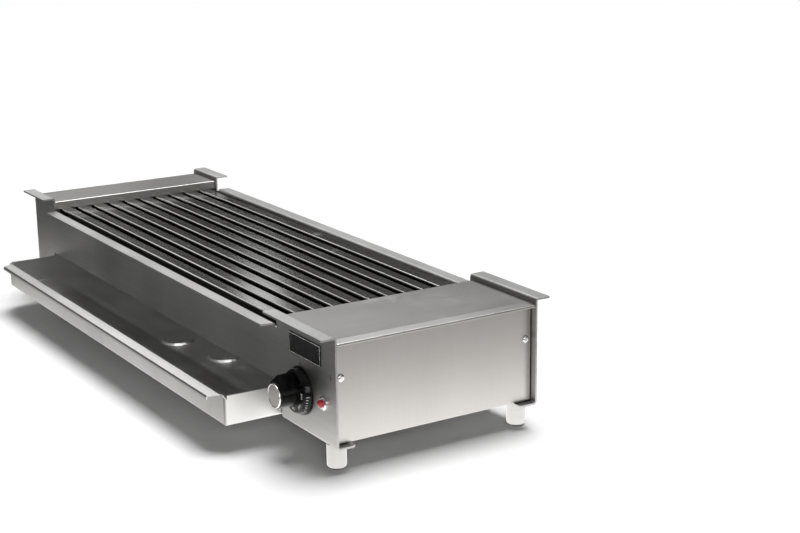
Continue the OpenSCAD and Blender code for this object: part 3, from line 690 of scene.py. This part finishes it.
class Workshop:
    """Holds the materials and the ways to dress and finish a piece.

    Attributes:
        MERGE: Points of a solid that are closer than this become one.
        FLAT: Faces that turn by fewer degrees than this become one.
        ROUNDING_STEPS: Faces across a rounded edge.
    """

    MERGE = 2e-6
    FLAT = 0.5
    ROUNDING_STEPS = 2

    def __init__(self) -> None:
        """Builds every material once."""
        effects = SharedEffects()
        self.materials = {f.name: f.make(effects) for f in FINISHES}

    def dress(self, node: str, finish: str) -> None:
        """Gives a solid its finish.

        Args:
            node: The solid's name.
            finish: The finish's name.
        """
        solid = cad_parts[node]
        for slot in solid.material_slots:
            slot.material = self.materials[finish]
        if not solid.material_slots:
            solid.data.materials.append(self.materials[finish])

    def place(self, name: str, mesh: bpy.types.Mesh, finish: str,
              body: Body) -> bpy.types.Object:
        """Makes a piece of a mesh and lets it ride.

        Args:
            name: The piece's name.
            mesh: Its mesh, already in place.
            finish: Its finish.
            body: The body that carries it.

        Returns:
            The new piece.
        """
        piece = bpy.data.objects.new(name, mesh)
        bpy.context.scene.collection.objects.link(piece)
        mesh.materials.append(self.materials[finish])
        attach(piece, body.value)
        return piece

    def smooth_twin(self, node: str, finish: str, body: Body,
                    sharp: float = 35.0, edge: float = 0.0) -> bpy.types.Object:
        """Replaces a turned solid by a smooth-shaded copy of it.

        Args:
            node: The solid's name.
            finish: The copy's finish.
            body: The body that carries it.
            sharp: Edges over this many degrees stay sharp.
            edge: Width of the rounding on sharp edges, in millimetres.

        Returns:
            The new piece.
        """
        shape = bmesh.new()
        shape.from_mesh(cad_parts[node].data)
        bmesh.ops.remove_doubles(shape, verts=shape.verts, dist=self.MERGE)
        bmesh.ops.dissolve_limit(shape, angle_limit=math.radians(self.FLAT),
                                 verts=shape.verts, edges=shape.edges)
        for face in shape.faces:
            face.smooth = True
        for line in shape.edges:
            line.smooth = line.calc_face_angle(math.pi) < math.radians(sharp)
        mesh = mesh_of(node + "_finished", shape)
        piece = self.place(node + "_finished", mesh, finish, body)
        if edge:
            rounding = piece.modifiers.new("Edge rounding", "BEVEL")
            rounding.width = edge * MM
            rounding.segments = self.ROUNDING_STEPS
            rounding.limit_method = "ANGLE"
            rounding.angle_limit = math.radians(sharp)
            rounding.harden_normals = True
        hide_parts(node)
        return piece


@dataclass
class FoldedShell:
    """Side plates, covers, end panels and inner walls."""

    finishes: dict[str, str] = field(default_factory=lambda: {
        "front_side_plate": "plate_steel",
        "back_side_plate": "plate_steel",
        "control_cover": "cover_steel",
        "far_cover": "cover_steel",
        "control_end_panel": "panel_steel",
        "far_end_panel": "panel_steel",
        "control_bulkhead": "inner_steel",
        "far_bulkhead": "inner_steel",
        "control_base": "inner_steel",
        "bar_rest": "inner_steel"})

    def build(self, shop: Workshop) -> None:
        """Dresses each sheet of the shell.

        Args:
            shop: Where the finishes come from.
        """
        for node, finish in self.finishes.items():
            shop.dress(node, finish)
            LOG.info("%s: %s", node, finish)


@dataclass
class CookingLevel:
    """The bars and the heating elements under them."""

    bars: int = 10
    elements: int = 5

    def build(self, shop: Workshop) -> None:
        """Dresses bars and elements.

        Args:
            shop: Where the finishes come from.
        """
        for number in range(1, self.bars + 1):
            shop.dress(f"grill_bar_{number:02d}", "bar_steel")
        for number in range(1, self.elements + 1):
            shop.smooth_twin(f"heating_element_{number}", "element_sheath",
                             Body.SHELL)
        LOG.info("%d bars and %d elements", self.bars, self.elements)


@dataclass
class Fastenings:
    """Brackets, screws and bolts at the four corners."""

    corners: tuple[str, ...] = CORNERS
    screw_sharp: float = 50.0

    def build(self, shop: Workshop) -> None:
        """Dresses the fastenings of each corner.

        Args:
            shop: Where the finishes come from.
        """
        for corner in self.corners:
            # Brackets get a near-black finish: painted shade for the slit where the tab
            # shows.
            shop.dress("bracket_" + corner, "bracket_painted_shade")
            shop.dress("bolt_" + corner, "fastener_steel")
            shop.smooth_twin("screw_" + corner, "fastener_steel",
                             Body.SHELL, sharp=self.screw_sharp)
            LOG.info("fastenings at %s", corner)


@dataclass
class Feet:
    """Turned steel feet on rubber pads."""

    corners: tuple[str, ...] = CORNERS
    foot_sharp: float = 40.0

    def build(self, shop: Workshop) -> None:
        """Makes each foot smooth and dresses it.

        Args:
            shop: Where the finishes come from.
        """
        for corner in self.corners:
            shop.smooth_twin("foot_" + corner, "foot_steel",
                             Body.SHELL, sharp=self.foot_sharp)
            shop.smooth_twin("pad_" + corner, "rubber", Body.SHELL)
            LOG.info("foot at %s", corner)


@dataclass
class DripTray:
    """The pan that slides out under the bars."""

    node: str = "drip_tray"

    def build(self, shop: Workshop) -> None:
        """Dresses the tray.

        Args:
            shop: Where the finishes come from.
        """
        shop.dress(self.node, "tray_steel")
        LOG.info("drip tray")


@dataclass
class Dial:
    """Knob with its cap and the scale printed on its skirt.

    Sizes are in millimetres. Heights along the axis count from the front plate,
    and angles run anticlockwise as seen from the front, from the right.
    """

    # Skirt: its axis, face, and the slope from its foot to its shoulder.
    axis_x: float = 749.0
    axis_z: float = 42.0
    face: float = 8.8
    foot: float = 1.8
    shoulder: float = 7.8
    foot_r: float = 25.0
    shoulder_r: float = 22.0
    # Print: the numbers with their angles, and the ticks.
    marks: tuple[tuple[str, float], ...] = (
        ("50", 135.0), ("100", 180.0), ("150", 225.0), ("200", 270.0),
        ("250", 315.0), ("300", 360.0))
    number_r: float = 17.2
    number_h: float = 3.3
    number_scale: float = 1.35
    ink: float = 0.03
    ticks: int = 37
    first_tick: float = 90.0
    tick_step: float = 7.5
    tick_w: float = 0.5
    tick_long: float = 3.4
    tick_short: float = 2.2
    long_every: int = 6
    long_at: float = 0.5
    short_at: float = 0.62
    tick_out: float = 0.05
    # Grip, its ridge and the ridge's nose.
    grip_r: float = 13.5
    ridge_r: float = 21.0
    nose_out: float = 0.4
    nose_from: float = 20.0
    nose_lift: float = 1.6
    knob_sharp: float = 38.0
    knob_edge: float = 0.3
    # Cap: its line as distances from the axis and heights.
    rim_r: float = 11.35
    cap_steps: int = 72
    cap_merge: float = 1e-4
    cap_sharp: float = 40.0
    cap_line: tuple[Span, ...] = (
        (0.0, 30.45), (11.0, 30.45), (11.15, 30.10), (11.4, 30.10), (11.55, 30.75),
        (11.8, 30.93), (12.1, 31.0), (12.4, 30.93), (12.65, 30.7), (12.75, 30.35),
        (12.75, 29.4), (0.0, 29.4))

    def build(self, shop: Workshop) -> None:
        """Builds the knob and its scale.

        Args:
            shop: Where the finishes come from.
        """
        self._lift_nose(shop.smooth_twin("knob", "knob_plastic",
                                         Body.KNOB, sharp=self.knob_sharp,
                                         edge=self.knob_edge))
        self._cap(shop)
        shop.dress("regulator_shaft", "fastener_steel")
        self._ticks(shop)
        self._numbers(shop)
        LOG.info("dial with %d numbers", len(self.marks))

    def _place(self, angle: float) -> Matrix:
        """Frame of a mark: X along the rim, Y away from the axis, Z outwards.

        Args:
            angle: Where the mark sits, in degrees.

        Returns:
            A matrix that takes the mark's millimetres into the frame.
        """
        front = Matrix(((1, 0, 0), (0, 0, -1), (0, 1, 0))).to_4x4()
        axis = Matrix.Translation(from_end(self.axis_x, FRONT_FACE, self.axis_z))
        spin = Matrix.Rotation(math.radians(angle - 90.0), 4, "Z")
        return axis @ front @ Matrix.Scale(MM, 4) @ spin

    def _lift_nose(self, knob: bpy.types.Object) -> None:
        """Brings the ridge's nose forward, so that its front stands upright.

        Args:
            knob: The finished knob.
        """
        home = self._place(90.0)
        back = home.inverted()
        shape = bmesh.new()
        shape.from_mesh(knob.data)
        for vert in shape.verts:
            spot = back @ vert.co
            out = math.hypot(spot.x, spot.y) - self.grip_r
            if out > self.nose_out and spot.z > self.nose_from:
                lift = self.nose_lift * min(1.0, out / (self.ridge_r - self.grip_r))
                bmesh.ops.translate(shape, verts=[vert],
                                    vec=home.to_3x3() @ Vector((0.0, 0.0, lift)))
        shape.to_mesh(knob.data)
        shape.free()

    def _cap(self, shop: Workshop) -> None:
        """Turns the cap: a satin disc in a bright rolled rim.

        Args:
            shop: Where the finishes come from.
        """
        shape = bmesh.new()
        line = [shape.verts.new((reach, 0.0, rise)) for reach, rise in self.cap_line]
        edges = [shape.edges.new(pair) for pair in zip(line, line[1:])]
        bmesh.ops.spin(shape, geom=line + edges, cent=(0, 0, 0), axis=(0, 0, 1),
                       angle=math.tau, steps=self.cap_steps, use_merge=True)
        bmesh.ops.remove_doubles(shape, verts=shape.verts, dist=self.cap_merge)
        bmesh.ops.recalc_face_normals(shape, faces=shape.faces)
        for face in shape.faces:
            face.smooth = True
            middle = face.calc_center_median()
            face.material_index = int(math.hypot(middle.x, middle.y) > self.rim_r)
        for edge in shape.edges:
            edge.smooth = edge.calc_face_angle(math.pi) < math.radians(self.cap_sharp)
        bmesh.ops.transform(shape, verts=shape.verts, matrix=self._place(90.0))
        mesh = mesh_of("knob_cap_finished", shape)
        piece = shop.place("knob_cap_finished", mesh, "cap_aluminium", Body.KNOB)
        mesh.materials.append(shop.materials["cap_rim"])
        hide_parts("knob_cap")

    def _ticks(self, shop: Workshop) -> None:
        """Prints the ticks on the skirt's slope.

        Args:
            shop: Where the finishes come from.
        """
        slope = math.degrees(math.atan2(self.shoulder - self.foot,
                                        self.foot_r - self.shoulder_r))
        shape = bmesh.new()
        for number in range(self.ticks):
            long = number % self.long_every == 0
            stroke = add_stroke(shape, self.tick_w,
                                self.tick_long if long else self.tick_short)
            bmesh.ops.rotate(shape, verts=stroke, cent=(0, 0, 0),
                             matrix=Matrix.Rotation(math.radians(-slope), 3, "X"))
            middle = self.long_at if long else self.short_at
            reach = self.foot_r + (self.shoulder_r - self.foot_r) * middle
            rise = self.foot + (self.shoulder - self.foot) * middle
            bmesh.ops.translate(shape, verts=stroke,
                                vec=(0, reach + self.tick_out, rise + self.ink))
            angle = self.first_tick + number * self.tick_step
            bmesh.ops.transform(shape, verts=stroke, matrix=self._place(angle))
        mesh = mesh_of("dial_ticks", shape)
        piece = shop.place("dial_ticks", mesh, "dial_print", Body.KNOB)

    def _numbers(self, shop: Workshop) -> None:
        """Prints the numbers on the skirt's face.

        Args:
            shop: Where the finishes come from.
        """
        for label, angle in self.marks:
            words = bpy.data.curves.new("dial_" + label, "FONT")
            words.body = label
            words.size = self.number_h * self.number_scale
            words.align_x = "CENTER"
            words.align_y = "CENTER"
            words.extrude = self.ink
            writer = bpy.data.objects.new("writer_" + label, words)
            bpy.context.scene.collection.objects.link(writer)
            bpy.context.view_layer.update()
            made = writer.evaluated_get(bpy.context.evaluated_depsgraph_get())
            mesh = bpy.data.meshes.new_from_object(made)
            bpy.data.objects.remove(writer)
            mesh.transform(self._place(angle) @ Matrix.Translation(
                (0.0, self.number_r, self.face + self.ink)))
            piece = shop.place("dial_number_" + label, mesh, "dial_print", Body.KNOB)


@dataclass
class Controls:
    """Everything else of the control box. Sizes are in millimetres."""

    index_x: float = 749.0
    index_low: float = 68.5
    index_high: float = 72.8
    index_w: float = 1.1
    index_out: float = 0.05
    border_in: float = 0.8
    border_w: float = 0.45
    border_out: float = 0.02
    lens_sharp: float = 50.0
    gland_sharp: float = 30.0

    def build(self, shop: Workshop) -> None:
        """Dresses the controls and prints the index on the plate.

        Args:
            shop: Where the finishes come from.
        """
        shop.smooth_twin("lamp_bezel", "bezel_chrome", Body.SHELL)
        shop.smooth_twin("lamp_lens", "lens_red", Body.SHELL,
                         sharp=self.lens_sharp)
        shop.dress("lamp_nut", "fastener_steel")
        shop.dress("nameplate", "plate_black")
        shop.dress("regulator_body", "regulator_plastic")
        shop.dress("terminal_block", "block_ivory")
        shop.smooth_twin("cable_gland", "gland_plastic", Body.SHELL,
                         sharp=self.gland_sharp)
        shop.dress("gland_nut", "gland_plastic")
        self._index(shop)
        self._border(shop)
        LOG.info("controls")

    def _border(self, shop: Workshop) -> None:
        """Prints a fine border on the bare plate.

        Args:
            shop: Where the finishes come from.
        """
        low, high = (Vector(corner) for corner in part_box("nameplate"))
        inside = 2.0 * self.border_in * MM
        shape = bmesh.new()
        add_stroke(shape, high.x - low.x - inside, high.z - low.z - inside)
        bmesh.ops.inset_region(shape, faces=list(shape.faces),
                               thickness=self.border_w * MM, use_boundary=True,
                               use_even_offset=True)
        inner = min(shape.faces, key=lambda face: face.calc_center_median().length)
        bmesh.ops.delete(shape, geom=[inner], context="FACES")
        stand_up(shape)
        middle = (low + high) / 2.0
        bmesh.ops.translate(shape, verts=shape.verts,
                            vec=(middle.x, low.y - self.border_out * MM, middle.z))
        mesh = mesh_of("nameplate_border", shape)
        piece = shop.place("nameplate_border", mesh, "dial_print", Body.SHELL)

    def _index(self, shop: Workshop) -> None:
        """Prints the index that the dial is read against.

        Args:
            shop: Where the finishes come from.
        """
        shape = bmesh.new()
        height = self.index_high - self.index_low
        stroke = add_stroke(shape, self.index_w * MM, height * MM)
        stand_up(shape)
        middle = (self.index_low + self.index_high) / 2.0
        bmesh.ops.translate(
            shape, verts=stroke,
            vec=from_end(self.index_x, FRONT_FACE - self.index_out, middle))
        mesh = mesh_of("index_mark", shape)
        piece = shop.place("index_mark", mesh, "index_print", Body.SHELL)


@dataclass(frozen=True)
class Softbox:
    """A square soft light.

    Attributes:
        name: The light's name.
        place: Where it hangs.
        aim: The point that it faces.
        size: Its side.
        power: Its power in watts.
        fills: Whether it lights dull surfaces, and not only shows in metal.
    """

    name: str
    place: Point
    aim: Point
    size: float
    power: float
    fills: bool = False

    def hang(self) -> None:
        """Hangs the light in the scene."""
        lamp = bpy.data.lights.new(self.name, "AREA")
        lamp.shape = "SQUARE"
        lamp.size = self.size
        lamp.energy = self.power
        box = bpy.data.objects.new(self.name, lamp)
        bpy.context.scene.collection.objects.link(box)
        box.location = self.place
        box.visible_diffuse = self.fills
        box.rotation_euler = (Vector(self.aim) - Vector(self.place)).to_track_quat(
            "-Z", "Y").to_euler()


SOFTBOXES = (
    Softbox("Far softbox", (-2.2, 0.40, 1.30), (0.0, 0.0, 0.1), 0.8, 3.6),
    Softbox("Front softbox", (2.75, -1.10, 0.90), (-0.2, -0.1, 0.05), 1.2, 20.0,
            fills=True),
    Softbox("Small softbox", (-1.911, 1.01, 0.84), (0.25, -0.085, 0.127), 0.1, 0.07),
    Softbox("Back softbox", (-1.40, 0.90, 1.55), (0.0, 0.0, 0.1), 1.0, 5.2),
    Softbox("Side softbox", (2.1, 0.35, 0.75), (0.0, 0.0, 0.05), 1.2, 3.0),
)


@dataclass
class Studio:
    """Floor, light and camera.

    What metal mirrors of the floor is painted apart from it: the near tone under
    the grill and at its control end, the end tone farther past that end, and the
    far tone in front of the grill. The apron beside the control end glows more.
    """

    place: Point = (1.690399, -0.814945, 0.602372)
    azimuth: float = 58.0111
    elevation: float = 14.9346
    roll: float = -0.7277
    lens: float = 72.937
    sensor: float = 36.0
    clip: Span = (0.05, 100.0)
    floor_size: float = 24.0
    floor_tone: Tone = (0.98, 0.98, 0.98)
    floor_rough: float = 0.85
    floor_gloss: float = 0.2
    mirror_near: Tone = (0.96, 0.948, 0.93)
    mirror_end: Tone = (0.40, 0.392, 0.38)
    mirror_far: Tone = (0.15, 0.15, 0.145)
    near_span: Span = (-0.33, -0.14)
    bend_from: float = -0.40
    bend: float = 0.35
    end_span: Span = (0.44, 0.80)
    apron_span: Span = (0.26, 0.33)
    apron_glow: float = 0.75
    glow: float = 1.05
    key_from: Point = (-0.20, 0.37, 1.75)
    key_power: float = 3.2
    key_spread: float = 34.0
    even: Tone = (0.05, 0.05, 0.05)
    backdrop: Tone = (0.93, 0.93, 0.93)
    dim_low: Tone = (0.035, 0.034, 0.032)
    dim_high: Tone = (0.34, 0.34, 0.34)
    dim_span: Span = (0.18, 0.95)
    softboxes: tuple[Softbox, ...] = SOFTBOXES

    def build(self) -> None:
        """Builds floor, lights, surroundings and camera."""
        self._floor()
        self._world()
        self._key()
        for softbox in self.softboxes:
            softbox.hang()
        self._camera()
        bpy.context.scene.view_settings.view_transform = "Standard"
        LOG.info("studio with %d softboxes", len(self.softboxes))

    def _floor(self) -> None:
        """Lays the pale floor."""
        shape = bmesh.new()
        add_stroke(shape, self.floor_size, self.floor_size)
        mesh = mesh_of("floor", shape)
        floor = bpy.data.objects.new("floor", mesh)
        bpy.context.scene.collection.objects.link(floor)
        mesh.materials.append(self._floor_material())

    def _floor_material(self) -> bpy.types.Material:
        """Builds the floor's material; in the metal's reflections it is replaced by a
        painted glow of set tones.

        Returns:
            The material.
        """
        material, bench = open_material("pale_floor")
        shader = bench.add("ShaderNodeBsdfPrincipled")
        shader.inputs["Base Color"].default_value = (*self.floor_tone, 1.0)
        shader.inputs["Roughness"].default_value = self.floor_rough
        shader.inputs["Specular IOR Level"].default_value = self.floor_gloss
        place = bench.add("ShaderNodeSeparateXYZ")
        bench.wire(bench.add("ShaderNodeTexCoord").outputs["Object"],
                   place.inputs[0])
        along, across = place.outputs["X"], place.outputs["Y"]
        past = bench.math("MINIMUM", bench.math("SUBTRACT", along, self.bend_from), 0.0)
        near = bench.spread(bench.math("MULTIPLY_ADD", past, self.bend, across),
                            self.near_span)
        beyond = bench.spread(along, self.end_span)
        apron = bench.math("MULTIPLY", bench.spread(along, self.apron_span),
                           bench.math("SUBTRACT", 1.0, beyond))
        # Painted reflection: what metal mirrors of the floor is a glow of set tones,
        # brighter on the apron, not the lit floor.
        glow = bench.add("ShaderNodeEmission")
        bench.wire(bench.mix(near, self.mirror_far,
                             bench.mix(beyond, self.mirror_near, self.mirror_end)),
                   glow.inputs["Color"])
        bench.wire(bench.math("MULTIPLY_ADD", apron, self.apron_glow, self.glow),
                   glow.inputs["Strength"])
        mixer = bench.add("ShaderNodeMixShader")
        path = bench.add("ShaderNodeLightPath")
        undimmed = bench.math("LESS_THAN", path.outputs["Diffuse Depth"], 0.5)
        bench.wire(bench.math("MULTIPLY", path.outputs["Is Glossy Ray"], undimmed),
                   mixer.inputs[0])
        bench.wire(shader.outputs["BSDF"], mixer.inputs[1])
        bench.wire(glow.outputs[0], mixer.inputs[2])
        bench.wire(mixer.outputs[0],
                   bench.add("ShaderNodeOutputMaterial").inputs["Surface"])
        return material

    def _world(self) -> None:
        """Sets the surroundings: pale to the camera, dim in metal, else faint."""
        world = bpy.data.worlds.new("studio")
        world.use_nodes = True
        bench = NodeBench(world.node_tree)
        way = bench.add("ShaderNodeSeparateXYZ")
        bench.wire(bench.add("ShaderNodeTexCoord").outputs["Generated"],
                   way.inputs[0])
        height = bench.spread(way.outputs["Z"], self.dim_span)
        dim = bench.mix(height, self.dim_low, self.dim_high)
        path = bench.add("ShaderNodeLightPath")
        sky = bench.add("ShaderNodeBackground")
        around = bench.mix(path.outputs["Is Glossy Ray"], self.even, dim)
        bench.wire(bench.mix(path.outputs["Is Camera Ray"], around, self.backdrop),
                   sky.inputs["Color"])
        bench.wire(sky.outputs[0],
                   bench.add("ShaderNodeOutputWorld").inputs["Surface"])
        bpy.context.scene.world = world

    def _key(self) -> None:
        """Sets the broad soft light from above and behind."""
        lamp = bpy.data.lights.new("Key light", "SUN")
        lamp.energy = self.key_power
        lamp.angle = math.radians(self.key_spread)
        key = bpy.data.objects.new("Key light", lamp)
        bpy.context.scene.collection.objects.link(key)
        key.rotation_euler = (-Vector(self.key_from)).to_track_quat(
            "-Z", "Y").to_euler()

    def _camera(self) -> None:
        """Sets the camera at the photograph's angle."""
        around, up = math.radians(self.azimuth), math.radians(self.elevation)
        back = Vector((math.sin(around) * math.cos(up),
                       -math.cos(around) * math.cos(up), math.sin(up)))
        side = (-back).cross(Vector((0.0, 0.0, 1.0))).normalized()
        rise = side.cross(-back)
        tilt = math.radians(self.roll)
        right = math.cos(tilt) * side + math.sin(tilt) * rise
        top = -math.sin(tilt) * side + math.cos(tilt) * rise
        turn = Matrix((right, top, back)).transposed().to_4x4()
        data = bpy.data.cameras.new("camera")
        data.sensor_fit = "HORIZONTAL"
        data.sensor_width = self.sensor
        data.lens = self.lens
        data.clip_start, data.clip_end = self.clip
        camera = bpy.data.objects.new("camera", data)
        bpy.context.scene.collection.objects.link(camera)
        camera.matrix_world = Matrix.Translation(self.place) @ turn
        bpy.context.scene.camera = camera


def main() -> None:
    """Builds the grill's looks in order."""
    logging.basicConfig(level=logging.INFO, format="%(name)s: %(message)s")
    shop = Workshop()
    for part in (FoldedShell(), CookingLevel(), Fastenings(), Feet(), DripTray(),
                 Dial(), Controls()):
        part.build(shop)
    Studio().build()


if __name__ == "__main__":
    main()
